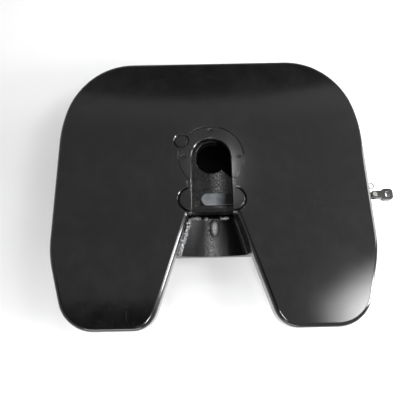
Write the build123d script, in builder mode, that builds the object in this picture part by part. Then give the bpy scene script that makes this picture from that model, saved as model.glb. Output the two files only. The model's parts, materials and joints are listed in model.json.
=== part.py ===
from build123d import *

import os
from math import atan2, degrees, tan

# Fifth wheel hitch: a cast coupling plate on two pedestals, for a 3.5 inch (89 mm neck) kingpin.
# Frame: +X is the vehicle's right, where the release handle is, +Y is forwards and +Z is up.
# The origin is on the kingpin's axis, in the plane that the pedestals stand on. Millimetres.

# ---------------------------------------------------------------- driving dimensions
PLATE_TOP = 250.0            # height of the coupling plate's top face over the pedestals' base
PLATE_SKIN = 13.0
UNDERSIDE = PLATE_TOP - PLATE_SKIN
SKIRT_DEPTH = 52.0
SKIRT_WALL = 12.0
EDGE_RADIUS = 12.0           # the plate's rolled edge
FRONT_Y = 321.0              # kingpin's axis to the front edge
REAR_Y = -486.0              # kingpin's axis to the horn tips
SIDE_X = 456.0               # half of the plate's width
APEX_Y = -172.0              # front end of the V between the horns
APEX_X = 69.7
TIP_X = 171.0                # inner corner of a horn's tip, before rounding

CROSS_RIB_L = 868.0          # the rib across the plate, which the bracket and the guard are bolted to
CROSS_RIB_DEPTH = 34.0
RIB_DEPTH = 30.0
RIBS = (                     # centre, length along X and length along Y of the other ribs
    (0, 236, 760, 12),
    (-205, -80, 14, 780),
    (205, -80, 14, 780),
    (-320, -260, 236, 12),
    (320, -260, 236, 12),
    (-310, -380, 200, 12),
    (310, -380, 200, 12),
)

SLOT_R = 58.0                # half width of the kingpin's slot
NECK_R = 45.0                # the jaw's seat, for an 89 mm kingpin neck
RING_R = 96.0
INSERT_T = 8.0               # thickness of the wear ring and of the throat liners
INSERT_GAP = 1.5
SLOT_FIT = 0.2               # how far the inserts stand back from the slot's walls
INSERT_EDGE = 2.0
RING_EDGE = 1.2              # outer edge of the wear ring
LINER_EDGE = 2.6
LINER_X = 69.0               # outer edge of a throat liner
EAR_R = 32.0
EAR_X = 61.0
EAR_Y = -129.0
INSERT_END_Y = -66.0         # where the wear ring stops and the liners start
LINER_END_Y = -160.0
RING_SCREW_AT = 82.0
SCREW_R = 4.0
BOSS_WIDER = 16.0            # how far the boss under the wear ring stands out beyond it
BOSS_T = 8.0

PIVOT_X = -86.0              # the jaw's pivot pin
PIVOT_Y = 52.0
PIVOT_HEAD_R = 21.0
PIVOT_R = 18.0
PIVOT_STUD_R = 12.0
PIVOT_NUT_R = 21.0
PIVOT_NUT_T = 12.0
PIVOT_STUD_END = 17.0        # how far the stud goes on under the bracket
JAW_TOP = 227.5
JAW_BOTTOM = 192.0
JAW_REAR_Y = -162.0
JAW_HEEL = (-100.0, -100.0)
JAW_TIP_X = 105.0
JAW_REACH = 268.0            # room for the jaw's swing round its pivot
JAW_ROOM_Z = JAW_BOTTOM - 4
JAW_ROOM_TOP = JAW_TOP + 1.5
BUSH_WALL = 6.0
HOOK_X = 5.0                 # centre of the relief ahead of the kingpin's seat
HOOK_Y = 9.0
HOOK_R = 49.0
HOOK_OUTER_R = 75.0
WEDGE_SLOPE = 0.66           # slope of the face where the lock bar backs the jaw
WEDGE_START_X = 62.0

PIN_EDGE = 4.0               # chamfer round the hole of the pivot pin's head
PIN_TOP = PLATE_TOP - 2      # the pivot pin's head, under its raised centre

JAW_POST = (-100.0, -20.0)   # the jaw's spring post, and the spring's anchor on the ramp
POST_R = 5.0
ANCHOR = (-77.6, -150.0)
ANCHOR_R = 4.0
ANCHOR_EYE_R = 5.5
ANCHOR_WIRE_R = 1.8
ANCHOR_HEX_R = 5.8
JAW_SPRING_Z = 180.0
JAW_SPRING_R = 6.0
JAW_SPRING_WIRE_R = 1.1
JAW_SPRING_TURNS = 20

BRACKET_TOP = 190.0          # the jaw bracket, which holds the pin's lower end
BRACKET_T = 12.0
BRACKET_Y = 143.0
BRACKET_BOLT_X = (-118.0, -54.0)
RIB_BOLT_Z = 214.0
M12_R = 6.0
M12_HEX_R = 11.0
M12_HEAD_T = 7.5
M12_NUT_T = 10.0
FLANGE_T = 12.0              # upright flanges of the bracket and of the guard
RIB_T = 14.0

BAR_NOSE_X = -32.0
BAR_Y = -127.0
TONGUE_R = 18.0
TONGUE_BOTTOM = 228.5
BAR_TOP = 236.3
BAR_BOTTOM = 192.3
BAR_END_X = 205.0
BAR_FRONT_Y = -100.0
BAR_REAR_Y = -159.5
BAR_STEP_X = 112.0
TONGUE_ROOT = 30.0           # how far the tongue goes on into the bar's body
BAR_CHAMFER = 1.5
WEDGE_NOSE_X = 84.0
WEDGE_GAP = 0.6

GUIDE_FLOOR = 180.0
GUIDE_WALL_X = 125.0
GUIDE_END_X = 255.0
GUIDE_FRONT_Y = -85.0
GUIDE_REAR_Y = -174.5
GUIDE_BOLTS = ((140, -92.2), (240, -92.2), (140, -167.2), (240, -167.2))
M10_R = 5.0
M10_HEX_R = 9.5
M10_HEAD_T = 6.5

ROD_Y = -118.0
ROD_Z = 214.0
ROD_R = 8.0
SKIRT_INNER_X = 441.8
BUSH_R = 12.0
CLEVIS_X = 474.0
CLEVIS_PIN_R = 4.0
TANG_T = 9.0
EAR_T = 5.0
HANDLE_END_X = 528.0
HANDLE_W = 34.0
HANDLE_EAR_R = 11.0
HANDLE_EDGE = 2.0
SPRING_START_X = 220.0
SPRING_END_X = 436.0
SPRING_R = 12.0
SPRING_WIRE_R = 1.6
SPRING_TURNS = 13
LOCK_NUT_R = 13.5
LOCK_NUT_T = 8.0
COLLAR_R = 15.0
COLLAR_T = 4.0
BUSH_COLLAR_R = 16.0
BUSH_COLLAR_T = 3.0

RAMP_FRONT_Y = -167.5
RAMP_REAR_Y = -278.0
RAMP_HIGH = 166.0
RAMP_LOW = 142.0
RAMP_BOTTOM = 124.0
RAMP_SECTIONS = ((RAMP_FRONT_Y + 1, RAMP_HIGH, 12), (RAMP_REAR_Y - 1, RAMP_LOW, 19))
NOSE_R = 14.0                # the rounded rib at the top of the slope
NOSE_X = 5.0
NOSE_Y = -195.0
NOSE_L = 24.0
NOSE_SINK = 5.0
EAR_EDGE = 6.0

GUARD_Z = 144.0              # the guard under the kingpin's hole
GUARD_T = 8.0
GUARD_BOLT_X = (-16.0, 38.0)
EYE_BOLT_Y = -90.0           # eye bolt beside the release handle
EYE_BOLT_R = 3.0
EYE_BOLT_EYE_R = 8.0
EYE_BOLT_WIRE_R = 2.2

TILT_Z = 160.0               # axis of the bracket pins, about which the plate tilts
PEDESTAL_X = 325.0
PIN_R = 22.5
PIN_HEAD = 7.0
LUG_T = 20.0
LUG_OFFSET = 44.0
LUG_R = 45.0
KEEPER_T = 7.0
EYE_R = 50.0
EYE_HALF = 30.0              # half of the pedestal eye's width
BUSH_OUTER_R = 38.0
SLEEVE_R = 26.0
FOOT_X = 150.0
FOOT_Y = 340.0
FOOT_T = 18.0
FOOT_HOLE_R = 9.0
FOOT_EDGE = 4.0
FOOT_CORNER_R = 14.0
POCKET = ((-116, 32), (116, 32), (44, 104), (-44, 104))
POCKET_R = 8.0
POCKET_DEPTH = 22.0
FOOT_HOLE_X = 55.0
FOOT_HOLE_Y = 140.0

FIT = 0.05                   # running clearance on a radius
SMALL = 0.1                  # clearance between pieces that are assembled together
PRESS = 0.02                 # clearance of a pressed or screwed fit
THROUGH = 60.0               # depth of a cut that goes right through a wall
TRIM = 300.0                 # width of a rectangle that only trims a sketch

SIDES = (("left", -1), ("right", 1))
RIB_BOLTS = [(x, RIB_BOLT_Z) for x in BRACKET_BOLT_X + GUARD_BOLT_X]
KEEPER_BOLTS = ((-18, TILT_Z + 38), (18, TILT_Z + 38))
RING_SCREWS = ((RING_SCREW_AT, 0), (0, RING_SCREW_AT), (-RING_SCREW_AT, 0))


def v_edge_x(y):
    """Half width of the V between the horns at a given y."""
    return APEX_X + (TIP_X - APEX_X) * (APEX_Y - y) / (APEX_Y - REAR_Y)


def wedge_y(x):
    """The jaw's slanted rear face, which the lock bar backs."""
    return JAW_REAR_Y + WEDGE_SLOPE * (x - WEDGE_START_X)


# right half of the plate's outline, from the front to the middle of the V
HALF_OUTLINE = (
    (0, FRONT_Y),
    (318, FRONT_Y),
    (420, 222),
    (452, 110),
    (SIDE_X, -280),
    (399, REAR_Y),
    (TIP_X, REAR_Y),
    (APEX_X, APEX_Y),
    (0, APEX_Y),
)
CORNER_RADII = (195, 230, 400, 300, 105, 65, 8)

os.makedirs("parts", exist_ok=True)

# ---------------------------------------------------------------- coupling plate
with BuildPart() as top_plate:
    with BuildSketch(Plane.XY.offset(PLATE_TOP - SKIRT_DEPTH)) as outline:
        with BuildLine():
            FilletPolyline(*HALF_OUTLINE, radius=CORNER_RADII)
            mirror(about=Plane.YZ)
        make_face()
    extrude(amount=SKIRT_DEPTH)
    fillet(top_plate.faces().sort_by(Axis.Z)[-1].edges(), EDGE_RADIUS)
    with BuildSketch(Plane.XY.offset(PLATE_TOP - SKIRT_DEPTH)):
        add(outline.sketch)
        offset(amount=-SKIRT_WALL)
    extrude(amount=SKIRT_DEPTH - PLATE_SKIN, mode=Mode.SUBTRACT)

    # ribs across and along the underside
    with BuildSketch(Plane.XY.offset(UNDERSIDE)):
        with Locations((0, BRACKET_Y + RIB_T / 2)):
            Rectangle(CROSS_RIB_L, RIB_T)
    extrude(amount=-CROSS_RIB_DEPTH)
    with BuildSketch(Plane.XY.offset(UNDERSIDE)):
        for x, y, length_x, length_y in RIBS:
            with Locations((x, y)):
                Rectangle(length_x, length_y)
    extrude(amount=-RIB_DEPTH)

    # lugs that carry the bracket pins
    for side, sign in SIDES:
        for step in (-LUG_OFFSET, LUG_OFFSET):
            with BuildSketch(Plane.YZ.offset(sign * PEDESTAL_X + step)):
                with BuildLine():
                    Polyline(
                        (-2 * LUG_R, UNDERSIDE),
                        (2 * LUG_R, UNDERSIDE),
                        (LUG_R, TILT_Z),
                        (-LUG_R, TILT_Z),
                        close=True,
                    )
                make_face()
                with Locations((0, TILT_Z)):
                    Circle(LUG_R)
                    Circle(PIN_R + SMALL, mode=Mode.SUBTRACT)
            extrude(amount=LUG_T / 2, both=True)

        inner_face = sign * (PEDESTAL_X - LUG_OFFSET - LUG_T / 2)
        with BuildSketch(Plane.YZ.offset(inner_face)):
            with Locations(*KEEPER_BOLTS):
                Circle(M10_R + SMALL)
        extrude(amount=sign * LUG_T, mode=Mode.SUBTRACT)

    # boss under the wear ring
    with BuildSketch(Plane.XY.offset(UNDERSIDE)):
        Circle(RING_R + BOSS_WIDER)
        with Locations((0, -120)):
            Rectangle(TRIM, 80, mode=Mode.SUBTRACT)
    extrude(amount=-BOSS_T)

    # room for the jaw's swing, kept below the skin
    with BuildSketch(Plane.XY.offset(JAW_ROOM_Z)):
        with Locations((PIVOT_X, PIVOT_Y)):
            Circle(JAW_REACH)
        with Locations((0, 290)):
            Rectangle(1000, 400, mode=Mode.SUBTRACT)
        with Locations((-462, 0)):
            Rectangle(400, 1000, mode=Mode.SUBTRACT)
    extrude(amount=JAW_ROOM_TOP - JAW_ROOM_Z, mode=Mode.SUBTRACT)

    # kingpin slot, and the pocket for the wear ring and the liners
    with BuildSketch(Plane.XY.offset(PLATE_TOP)):
        Circle(SLOT_R)
        with Locations((0, -100)):
            Rectangle(2 * SLOT_R, 200)
    extrude(amount=-SKIRT_DEPTH - 10, mode=Mode.SUBTRACT)
    with BuildSketch(Plane.XY.offset(PLATE_TOP)):
        Circle(RING_R + INSERT_GAP)
        with Locations((0, LINER_END_Y / 2 - INSERT_GAP / 2)):
            Rectangle(2 * (LINER_X + INSERT_GAP), -LINER_END_Y + INSERT_GAP)
        with Locations((-EAR_X, EAR_Y), (EAR_X, EAR_Y)):
            Circle(EAR_R + INSERT_GAP)
        with Locations((0, LINER_END_Y - INSERT_GAP - 10)):
            Rectangle(TRIM, 20, mode=Mode.SUBTRACT)
    extrude(amount=-INSERT_T, mode=Mode.SUBTRACT)
    with Locations((-EAR_X, EAR_Y, PLATE_TOP), (EAR_X, EAR_Y, PLATE_TOP)):
        Cone(
            EAR_R + INSERT_GAP,
            EAR_R + INSERT_GAP + EAR_EDGE,
            EAR_EDGE,
            align=(Align.CENTER, Align.CENTER, Align.MAX),
            mode=Mode.SUBTRACT,
        )
    with Locations((PIVOT_X, PIVOT_Y, PLATE_TOP)):
        Cone(
            PIVOT_HEAD_R,
            PIVOT_HEAD_R + PIN_EDGE,
            PIN_EDGE,
            align=(Align.CENTER, Align.CENTER, Align.MAX),
            mode=Mode.SUBTRACT,
        )

    # passage for the lock bar through the right-hand rib
    with BuildSketch(Plane.XY.offset(UNDERSIDE)):
        with Locations((BAR_END_X, (GUIDE_FRONT_Y + GUIDE_REAR_Y) / 2)):
            Rectangle(60, GUIDE_FRONT_Y - GUIDE_REAR_Y + 4)
    extrude(amount=-SKIRT_DEPTH, mode=Mode.SUBTRACT)

    # hole for the jaw's pivot pin, and tapped holes for the ring's screws
    with BuildSketch(Plane.XY.offset(PLATE_TOP)):
        with Locations((PIVOT_X, PIVOT_Y)):
            Circle(PIVOT_HEAD_R + SMALL)
        with Locations(*RING_SCREWS):
            Circle(SCREW_R + SMALL / 2)
    extrude(amount=-SKIRT_DEPTH, mode=Mode.SUBTRACT)

    # holes for the draw rod's bush and for the eye bolt through the right-hand skirt
    with BuildSketch(Plane.YZ.offset(SKIRT_INNER_X - 10)):
        with Locations((ROD_Y, ROD_Z)):
            Circle(BUSH_R)
        with Locations((EYE_BOLT_Y, ROD_Z)):
            Circle(EYE_BOLT_R + SMALL)
    extrude(amount=40, mode=Mode.SUBTRACT)

    # bolt holes of the jaw bracket, of the guard and of the lock bar's guide
    with BuildSketch(Plane.XZ.offset(-BRACKET_Y)):
        with Locations(*RIB_BOLTS):
            Circle(M12_R + SMALL)
    extrude(amount=-30, mode=Mode.SUBTRACT)
    with BuildSketch(Plane.XY.offset(UNDERSIDE)):
        with Locations(*GUIDE_BOLTS):
            Circle(M10_R + SMALL)
    extrude(amount=8, mode=Mode.SUBTRACT)
top_plate.part.label = "top_plate"
export_step(top_plate.part, "parts/top_plate.step")

# ---------------------------------------------------------------- wear ring and its screws
with BuildPart() as wear_ring:
    with BuildSketch(Plane.XY.offset(PLATE_TOP - INSERT_T + FIT)):
        Circle(RING_R)
        Circle(SLOT_R + SLOT_FIT, mode=Mode.SUBTRACT)
        with Locations((0, INSERT_END_Y - 100)):
            Rectangle(TRIM, 200, mode=Mode.SUBTRACT)
        with Locations((0, INSERT_END_Y / 2)):
            Rectangle(2 * (SLOT_R + SLOT_FIT), -INSERT_END_Y, mode=Mode.SUBTRACT)
        with Locations((PIVOT_X, PIVOT_Y)):
            Circle(PIVOT_HEAD_R + 1.2, mode=Mode.SUBTRACT)
    extrude(amount=INSERT_T - FIT)
    inner_edge = wear_ring.faces().sort_by(Axis.Z)[-1].edges().filter_by(
        lambda e: max(abs(e.center().X), abs(e.center().Y)) < SLOT_R + 1 and e.center().Y > -40
    )
    chamfer(inner_edge, INSERT_EDGE)
    outer_edge = wear_ring.faces().sort_by(Axis.Z)[-1].edges().filter_by(GeomType.CIRCLE).filter_by(
        lambda e: e.radius > RING_R - 1
    )
    chamfer(outer_edge, RING_EDGE)
    with Locations(Plane.XY.offset(PLATE_TOP)):
        with Locations(*RING_SCREWS):
            CounterSinkHole(radius=SCREW_R + SMALL, counter_sink_radius=2 * SCREW_R)
wear_ring.part.label = "wear_ring"
export_step(wear_ring.part, "parts/wear_ring.step")

with BuildPart() as ring_screws:
    head_z = PLATE_TOP - 0.6
    for place in RING_SCREWS:
        with Locations(place):
            with Locations((0, 0, head_z)):
                Cone(
                    SCREW_R,
                    2 * SCREW_R - 0.8,
                    SCREW_R - 0.8,
                    align=(Align.CENTER, Align.CENTER, Align.MAX),
                )
                Cylinder(SCREW_R, 20, align=(Align.CENTER, Align.CENTER, Align.MAX))
    with BuildSketch(Plane.XY.offset(head_z)):
        with Locations(*RING_SCREWS):
            RegularPolygon(3.4, 6)
    extrude(amount=-3, mode=Mode.SUBTRACT)
ring_screws.part.label = "ring_screws"
export_step(ring_screws.part, "parts/ring_screws.step")

# ---------------------------------------------------------------- throat liners
for side, sign in SIDES:
    with BuildPart() as throat_liner:
        with BuildSketch(Plane.XY.offset(PLATE_TOP - INSERT_T + FIT)):
            with Locations((sign * (SLOT_R + LINER_X) / 2, (INSERT_END_Y + LINER_END_Y) / 2)):
                Rectangle(LINER_X - SLOT_R, INSERT_END_Y - LINER_END_Y - 0.8)
            with Locations((sign * EAR_X, EAR_Y)):
                Circle(EAR_R)
            with Locations((0, EAR_Y)):
                Rectangle(2 * (SLOT_R + SLOT_FIT), 200, mode=Mode.SUBTRACT)
            with Locations((0, LINER_END_Y - 10)):
                Rectangle(TRIM, 20, mode=Mode.SUBTRACT)
        extrude(amount=INSERT_T - FIT)
        fillet(throat_liner.faces().sort_by(Axis.Z)[-1].edges(), LINER_EDGE)
    throat_liner.part.label = f"throat_liner_{side}"
    export_step(throat_liner.part, f"parts/throat_liner_{side}.step")

# ---------------------------------------------------------------- throat ramp
with BuildPart() as throat_ramp:
    with BuildSketch(Plane.XY.offset(RAMP_BOTTOM)):
        with BuildLine():
            Polyline(
                (-v_edge_x(RAMP_FRONT_Y) - SKIRT_WALL, RAMP_FRONT_Y),
                (v_edge_x(RAMP_FRONT_Y) + SKIRT_WALL, RAMP_FRONT_Y),
                (v_edge_x(RAMP_REAR_Y) + SKIRT_WALL, RAMP_REAR_Y),
                (-v_edge_x(RAMP_REAR_Y) - SKIRT_WALL, RAMP_REAR_Y),
                close=True,
            )
        make_face()
    extrude(amount=PLATE_TOP - SKIRT_DEPTH - RAMP_BOTTOM - SMALL)
    # the channel between the cheeks, a shallow trough that falls and widens to the rear
    for y, floor, rise in RAMP_SECTIONS:
        half = v_edge_x(y)
        with BuildSketch(Plane.XZ.offset(-y)) as channel:
            with BuildLine():
                ThreePointArc((-half, floor + rise), (0, floor), (half, floor + rise))
                Polyline(
                    (half, floor + rise),
                    (half, floor + 160),
                    (-half, floor + 160),
                    (-half, floor + rise),
                )
            make_face()
            fillet(channel.vertices().group_by(Axis.Z)[0], rise)
    loft(mode=Mode.SUBTRACT)
    # the hollow under the slope
    with BuildSketch(Plane.YZ):
        with BuildLine():
            Polyline(
                (RAMP_FRONT_Y - 14, RAMP_BOTTOM - 1),
                (RAMP_REAR_Y + 12, RAMP_BOTTOM - 1),
                (RAMP_REAR_Y + 12, RAMP_LOW - 8),
                (RAMP_FRONT_Y - 14, RAMP_HIGH - 16),
                close=True,
            )
        make_face()
    extrude(amount=60, both=True, mode=Mode.SUBTRACT)
    # rounded rib in the middle, at the top of the slope
    slope = atan2(RAMP_HIGH - RAMP_LOW, RAMP_FRONT_Y - RAMP_REAR_Y)
    nose_z = RAMP_HIGH - (RAMP_FRONT_Y - NOSE_Y) * tan(slope) - NOSE_SINK
    with Locations(Location((NOSE_X, NOSE_Y, nose_z), (90 + degrees(slope), 0, 0))):
        Cylinder(NOSE_R, NOSE_L)
        with Locations((0, 0, NOSE_L / 2), (0, 0, -NOSE_L / 2)):
            Sphere(NOSE_R)
    # room for the jaw's swing over the left cheek
    with BuildSketch(Plane.XY.offset(JAW_ROOM_Z)):
        with Locations((PIVOT_X, PIVOT_Y)):
            Circle(JAW_REACH)
    extrude(amount=20, mode=Mode.SUBTRACT)
    # tapped hole for the jaw spring's anchor
    with BuildSketch(Plane.XZ.offset(-RAMP_FRONT_Y)):
        with Locations((ANCHOR[0], JAW_SPRING_Z)):
            Circle(ANCHOR_R + SMALL / 2)
    extrude(amount=12, mode=Mode.SUBTRACT)
throat_ramp.part.label = "throat_ramp"
export_step(throat_ramp.part, "parts/throat_ramp.step")

# ---------------------------------------------------------------- lock jaw, its bush and its pin
with BuildPart() as lock_jaw:
    with BuildSketch(Plane.XY.offset(JAW_BOTTOM)):
        with Locations((HOOK_X, HOOK_Y)):
            Circle(HOOK_OUTER_R)
        with Locations((18 + 50, 0)):
            Rectangle(100, 200, mode=Mode.SUBTRACT)
        with Locations((PIVOT_X, PIVOT_Y)):
            Circle(2 * PIVOT_R)
        with BuildLine():
            Polyline(
                (PIVOT_X - 2 * PIVOT_R, PIVOT_Y),
                JAW_HEEL,
                (-WEDGE_START_X, JAW_REAR_Y),
                (WEDGE_START_X, JAW_REAR_Y),
                (JAW_TIP_X, wedge_y(JAW_TIP_X)),
                (JAW_TIP_X, -74),
                (64, -66),
                (29, -34),
                (-40, -20),
                (-60, PIVOT_Y),
                close=True,
            )
        make_face()
        Circle(NECK_R, mode=Mode.SUBTRACT)
        with Locations((HOOK_X, HOOK_Y)):
            Circle(HOOK_R, mode=Mode.SUBTRACT)
        with Locations((PIVOT_X, PIVOT_Y)):
            Circle(PIVOT_R + BUSH_WALL, mode=Mode.SUBTRACT)
    extrude(amount=JAW_TOP - JAW_BOTTOM)
    with BuildSketch(Plane.XY.offset(JAW_BOTTOM)):
        with Locations(JAW_POST):
            Circle(POST_R)
    extrude(amount=12, mode=Mode.SUBTRACT)
    seat = lock_jaw.faces().sort_by(Axis.Z)[-1].edges().filter_by(
        lambda e: abs(e.center().X) < 50 and -50 < e.center().Y < 56
    )
    chamfer(seat, 1.5)
lock_jaw.part.label = "lock_jaw"
export_step(lock_jaw.part, "parts/lock_jaw.step")

with BuildPart() as jaw_bush:
    with BuildSketch(Plane.XY.offset(JAW_BOTTOM)):
        with Locations((PIVOT_X, PIVOT_Y)):
            Circle(PIVOT_R + BUSH_WALL - PRESS)
            Circle(PIVOT_R + FIT, mode=Mode.SUBTRACT)
    extrude(amount=JAW_TOP - JAW_BOTTOM)
jaw_bush.part.label = "jaw_bush"
export_step(jaw_bush.part, "parts/jaw_bush.step")

with BuildPart() as jaw_pivot_pin:
    for top, bottom, radius in (
        (PIN_TOP, JAW_ROOM_TOP, PIVOT_HEAD_R),
        (JAW_TOP + 2, BRACKET_TOP + SMALL, PIVOT_R),
        (BRACKET_TOP + 1, BRACKET_TOP - BRACKET_T - PIVOT_STUD_END, PIVOT_STUD_R),
    ):
        with BuildSketch(Plane.XY.offset(top)):
            with Locations((PIVOT_X, PIVOT_Y)):
                Circle(radius)
        extrude(amount=bottom - top)
    with BuildSketch(Plane.XY.offset(PIN_TOP)):
        with Locations((PIVOT_X, PIVOT_Y)):
            RegularPolygon(PIVOT_HEAD_R - 5, 8)
    extrude(amount=1.4)
    rim = jaw_pivot_pin.edges().filter_by(GeomType.CIRCLE).filter_by(
        lambda e: abs(e.center().Z - PIN_TOP) < 0.1
    )
    chamfer(rim, 2)
jaw_pivot_pin.part.label = "jaw_pivot_pin"
export_step(jaw_pivot_pin.part, "parts/jaw_pivot_pin.step")

with BuildPart() as spring_post:
    with BuildSketch(Plane.XY.offset(JAW_BOTTOM + 11)):
        with Locations(JAW_POST):
            Circle(POST_R - PRESS)
    extrude(amount=-11 - 20)
    with BuildSketch(Plane.XY.offset(JAW_BOTTOM - 16.5)):
        with Locations(JAW_POST):
            Circle(POST_R + 2)
    extrude(amount=-3.5)
spring_post.part.label = "spring_post"
export_step(spring_post.part, "parts/spring_post.step")

with BuildPart() as spring_anchor:
    with BuildSketch(Plane.XZ.offset(-RAMP_FRONT_Y + 10)):
        with Locations((ANCHOR[0], JAW_SPRING_Z)):
            Circle(ANCHOR_R)
    extrude(amount=RAMP_FRONT_Y - 10 - ANCHOR[1] + ANCHOR_EYE_R)
    with BuildSketch(Plane.XZ.offset(-RAMP_FRONT_Y - SMALL)):
        with Locations((ANCHOR[0], JAW_SPRING_Z)):
            RegularPolygon(ANCHOR_HEX_R, 6)
    extrude(amount=-4)
    with Locations((ANCHOR[0], ANCHOR[1], JAW_SPRING_Z)):
        Torus(ANCHOR_EYE_R, ANCHOR_WIRE_R)
spring_anchor.part.label = "spring_anchor"
export_step(spring_anchor.part, "parts/spring_anchor.step")

with BuildPart() as jaw_spring:
    reach = Vector(ANCHOR[0] - JAW_POST[0], ANCHOR[1] - JAW_POST[1], 0)
    along = reach.normalized()
    start = Vector(JAW_POST[0], JAW_POST[1], JAW_SPRING_Z) + along * (POST_R + 3)
    coil_length = reach.length - POST_R - 14
    with BuildLine() as jaw_coil:
        Helix(
            pitch=coil_length / JAW_SPRING_TURNS,
            height=coil_length,
            radius=JAW_SPRING_R,
            center=start,
            direction=along,
        )
    with BuildSketch(Plane(jaw_coil.line @ 0, z_dir=jaw_coil.line % 0)):
        Circle(JAW_SPRING_WIRE_R)
    sweep(path=jaw_coil.line, is_frenet=True)
jaw_spring.part.label = "jaw_spring"
export_step(jaw_spring.part, "parts/jaw_spring.step")

with BuildPart() as grease_nipple:
    nipple_top = BRACKET_TOP - BRACKET_T - PIVOT_STUD_END - SMALL
    with BuildSketch(Plane.XY.offset(nipple_top)):
        with Locations((PIVOT_X, PIVOT_Y)):
            RegularPolygon(5, 6)
    extrude(amount=-4)
    with BuildSketch(Plane.XY.offset(nipple_top - 4)):
        with Locations((PIVOT_X, PIVOT_Y)):
            Circle(3.2)
    extrude(amount=-6)
    chamfer(grease_nipple.faces().sort_by(Axis.Z)[0].edges(), 1.2)
grease_nipple.part.label = "grease_nipple"
export_step(grease_nipple.part, "parts/grease_nipple.step")

with BuildPart() as pivot_nut:
    with BuildSketch(Plane.XY.offset(BRACKET_TOP - BRACKET_T - SMALL)):
        with Locations((PIVOT_X, PIVOT_Y)):
            RegularPolygon(PIVOT_NUT_R, 6)
            Circle(PIVOT_STUD_R + SMALL, mode=Mode.SUBTRACT)
    extrude(amount=-PIVOT_NUT_T)
pivot_nut.part.label = "pivot_nut"
export_step(pivot_nut.part, "parts/pivot_nut.step")

with BuildPart() as jaw_bracket:
    with BuildSketch(Plane.XY.offset(BRACKET_TOP)):
        with BuildLine():
            Polyline(
                (-128, BRACKET_Y),
                (-128, 24),
                (-64, 24),
                (-44, 80),
                (-44, BRACKET_Y),
                close=True,
            )
        make_face()
        with Locations((PIVOT_X, PIVOT_Y)):
            Circle(PIVOT_STUD_R + SMALL, mode=Mode.SUBTRACT)
    extrude(amount=-BRACKET_T)
    with BuildSketch(Plane.XY.offset(BRACKET_TOP)):
        with Locations((PIVOT_X, BRACKET_Y - FLANGE_T / 2 - SMALL)):
            Rectangle(84, FLANGE_T)
    extrude(amount=UNDERSIDE - BRACKET_TOP - 0.5)
    with BuildSketch(Plane.XZ.offset(-BRACKET_Y)):
        with Locations(*RIB_BOLTS):
            Circle(M12_R + SMALL)
    extrude(amount=20, mode=Mode.SUBTRACT)
jaw_bracket.part.label = "jaw_bracket"
export_step(jaw_bracket.part, "parts/jaw_bracket.step")

# ---------------------------------------------------------------- guard under the kingpin's hole
with BuildPart() as kingpin_guard:
    with BuildSketch(Plane.XY.offset(GUARD_Z)) as guard_outline:
        with BuildLine():
            Polyline(
                (-80, RAMP_FRONT_Y + SMALL),
                (80, RAMP_FRONT_Y + SMALL),
                (80, -80),
                (70, BRACKET_Y - SMALL),
                (-40, BRACKET_Y - SMALL),
                (-56, 60),
                (-56, -70),
                (-80, -110),
                close=True,
            )
        make_face()
        with Locations((0, -106)):
            RectangleRounded(100, 72, 16, mode=Mode.SUBTRACT)
    extrude(amount=GUARD_T)
    # flange that is bolted to the cross rib, and its two gussets
    with BuildSketch(Plane.XY.offset(GUARD_Z)):
        with Locations((15, BRACKET_Y - FLANGE_T / 2 - SMALL)):
            Rectangle(110, FLANGE_T)
    extrude(amount=UNDERSIDE - GUARD_Z - 0.5)
    for x in (-34, 60):
        with BuildSketch(Plane.YZ.offset(x)):
            with BuildLine():
                Polyline(
                    (BRACKET_Y - 6, GUARD_Z + 4),
                    (96, GUARD_Z + 4),
                    (BRACKET_Y - 6, RIB_BOLT_Z),
                    close=True,
                )
            make_face()
        extrude(amount=4, both=True)
    with BuildSketch(Plane.XZ.offset(-BRACKET_Y)):
        with Locations(*RIB_BOLTS):
            Circle(M12_R + SMALL)
    extrude(amount=20, mode=Mode.SUBTRACT)
kingpin_guard.part.label = "kingpin_guard"
export_step(kingpin_guard.part, "parts/kingpin_guard.step")

with BuildPart() as rib_bolts:
    head_plane = Plane.XZ.offset(FLANGE_T + 2 * SMALL - BRACKET_Y)
    with BuildSketch(head_plane):
        with Locations(*RIB_BOLTS):
            RegularPolygon(M12_HEX_R, 6)
    extrude(amount=M12_HEAD_T)
    with BuildSketch(head_plane):
        with Locations(*RIB_BOLTS):
            Circle(M12_R)
    extrude(amount=-FLANGE_T - RIB_T - M12_NUT_T - 4)
rib_bolts.part.label = "rib_bolts"
export_step(rib_bolts.part, "parts/rib_bolts.step")

with BuildPart() as rib_nuts:
    with BuildSketch(Plane.XZ.offset(-BRACKET_Y - RIB_T - SMALL)):
        with Locations(*RIB_BOLTS):
            RegularPolygon(M12_HEX_R, 6)
            Circle(M12_R + SMALL, mode=Mode.SUBTRACT)
    extrude(amount=-M12_NUT_T)
rib_nuts.part.label = "rib_nuts"
export_step(rib_nuts.part, "parts/rib_nuts.step")

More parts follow.
